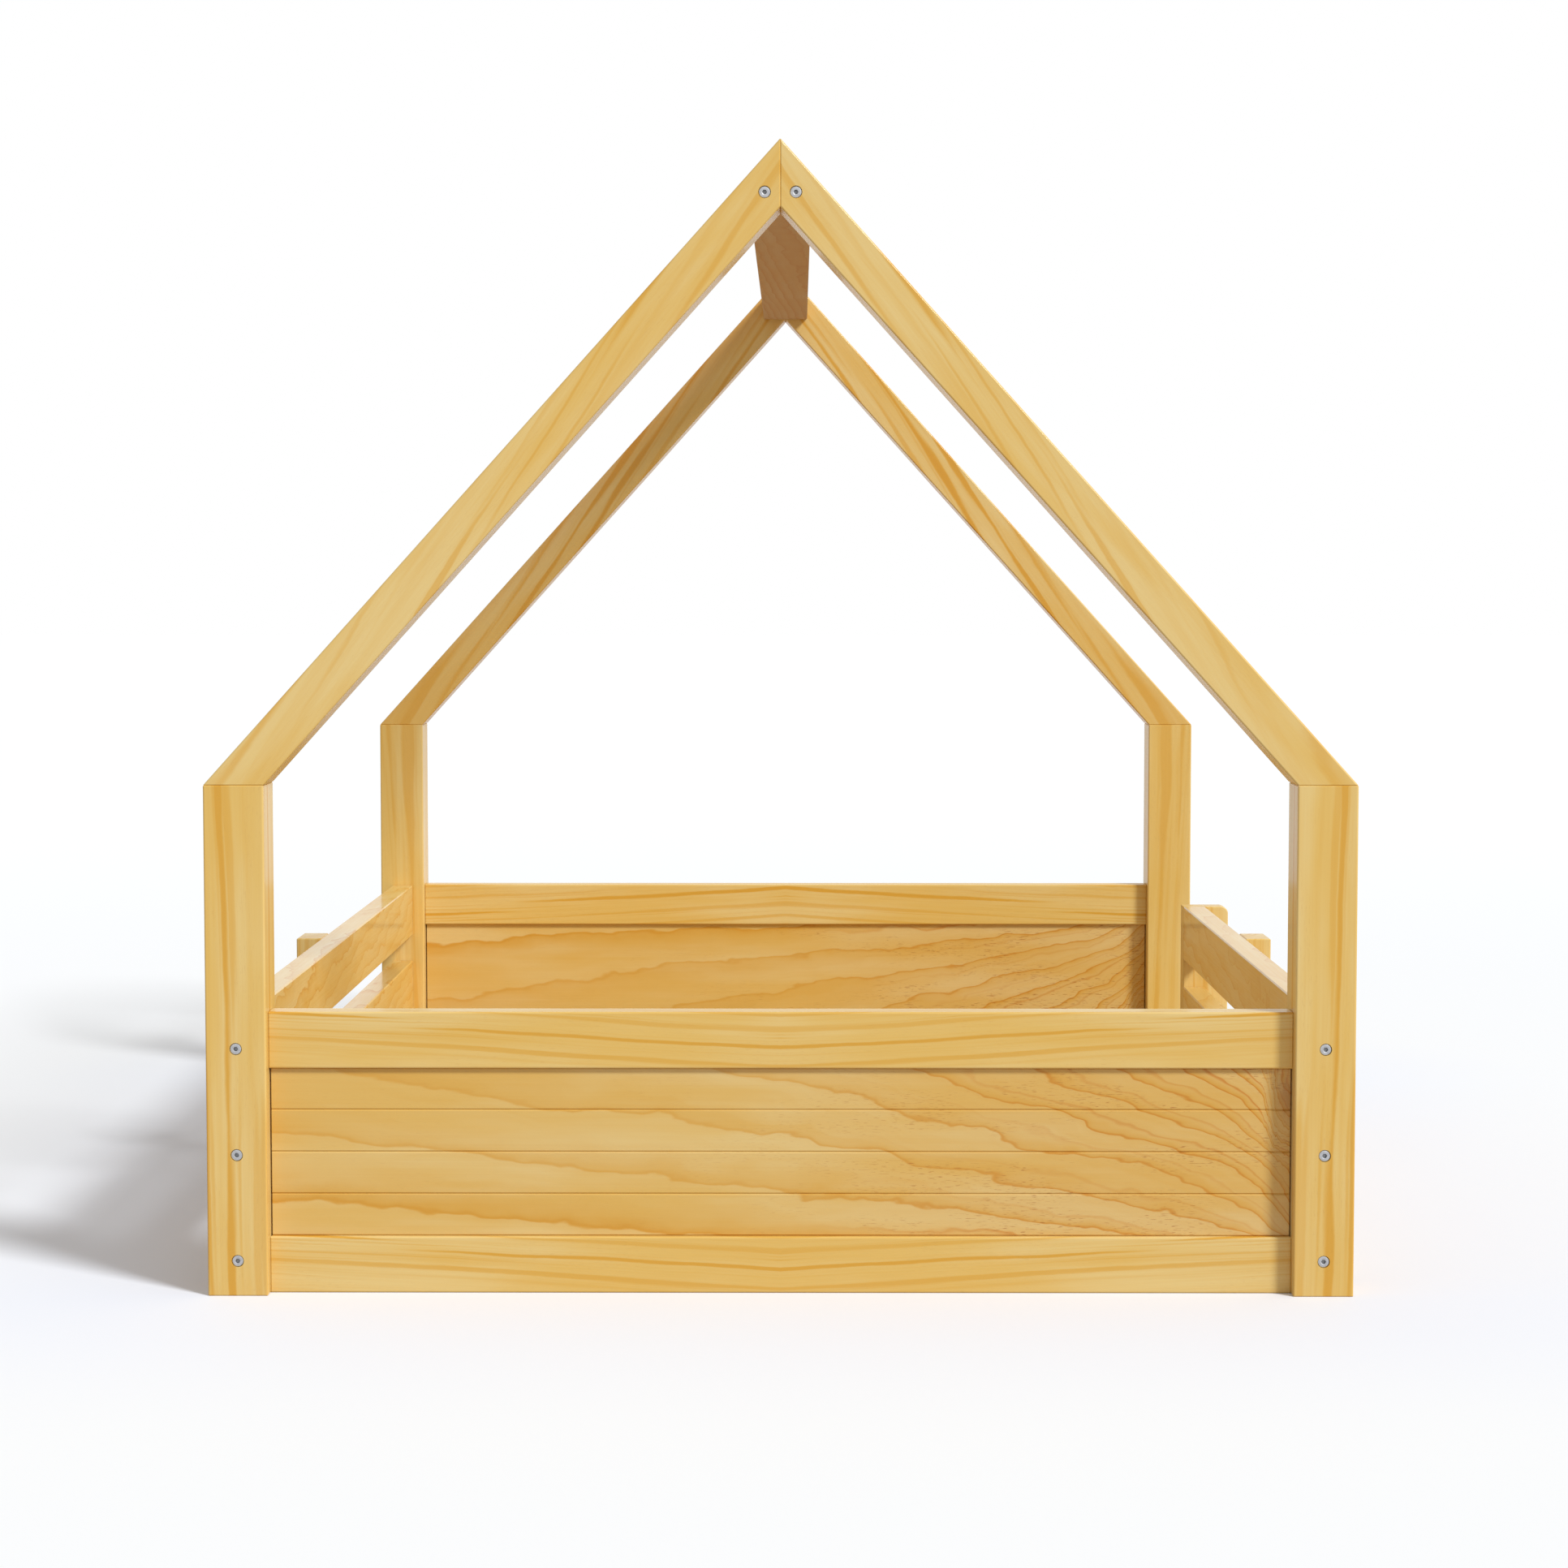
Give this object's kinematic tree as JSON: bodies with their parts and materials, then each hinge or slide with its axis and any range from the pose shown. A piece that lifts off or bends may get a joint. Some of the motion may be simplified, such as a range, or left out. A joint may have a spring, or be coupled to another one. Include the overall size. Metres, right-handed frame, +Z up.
{
  "type": "house frame bed",
  "caption": "Low pine bed with a house-shaped roof frame, plank end panels, slatted guard rails, an entry gap at one side and a slatted base.",
  "frame": {"origin": "on the floor, at the centre of the bed's plan", "axes": "+X to the right seen from the front, +Y from the front gable to the back gable, +Z up"},
  "size_m": [1.794, 2.188, 1.7509],
  "materials": {
    "pine_frame": "clear waxed, satin",
    "pine_planks": "clear waxed, satin",
    "pine_base": "planed, untreated",
    "beech_keys": "planed, untreated",
    "zinc_plated_steel": "zinc plated, satin",
    "zinc_alloy": "die cast, matt"
  },
  "bodies": {
    "root": {"back_bottom_rail": "pine_frame", "back_left_post": "pine_frame", "back_left_rafter": "pine_frame", "back_plank_1": "pine_planks", "back_plank_2": "pine_planks", "back_plank_3": "pine_planks", "back_plank_4": "pine_planks", "back_right_post": "pine_frame", "back_right_rafter": "pine_frame", "back_top_rail": "pine_frame", "centre_beam": "pine_base", "front_bottom_rail": "pine_frame", "front_left_post": "pine_frame", "front_left_rafter": "pine_frame", "front_plank_1": "pine_planks", "front_plank_2": "pine_planks", "front_plank_3": "pine_planks", "front_plank_4": "pine_planks", "front_right_post": "pine_frame", "front_right_rafter": "pine_frame", "front_top_rail": "pine_frame", "guard_end_post": "pine_frame", "guard_post_bolts": "zinc_plated_steel", "left_bottom_rail": "pine_frame", "left_mid_leg": "pine_frame", "left_middle_rail": "pine_frame", "left_slat_ledger": "pine_base", "left_top_rail": "pine_frame", "leg_bolts": "zinc_plated_steel", "leg_inserts": "zinc_alloy", "mitre_keys": "beech_keys", "post_top_keys": "beech_keys", "ridge_barrel_nuts": "zinc_alloy", "ridge_beam": "pine_frame", "ridge_bolts": "zinc_plated_steel", "right_bottom_rail": "pine_frame", "right_mid_leg": "pine_frame", "right_middle_rail": "pine_frame", "right_slat_ledger": "pine_base", "right_top_rail": "pine_frame", "side_rail_barrel_nuts": "zinc_alloy", "side_rail_bolts": "zinc_plated_steel", "slat_01": "pine_base", "slat_02": "pine_base", "slat_03": "pine_base", "slat_04": "pine_base", "slat_05": "pine_base", "slat_06": "pine_base", "slat_07": "pine_base", "slat_08": "pine_base", "slat_09": "pine_base", "slat_10": "pine_base", "slat_11": "pine_base", "slat_12": "pine_base", "slat_13": "pine_base", "slat_14": "pine_base"}
  },
  "joints": []
}
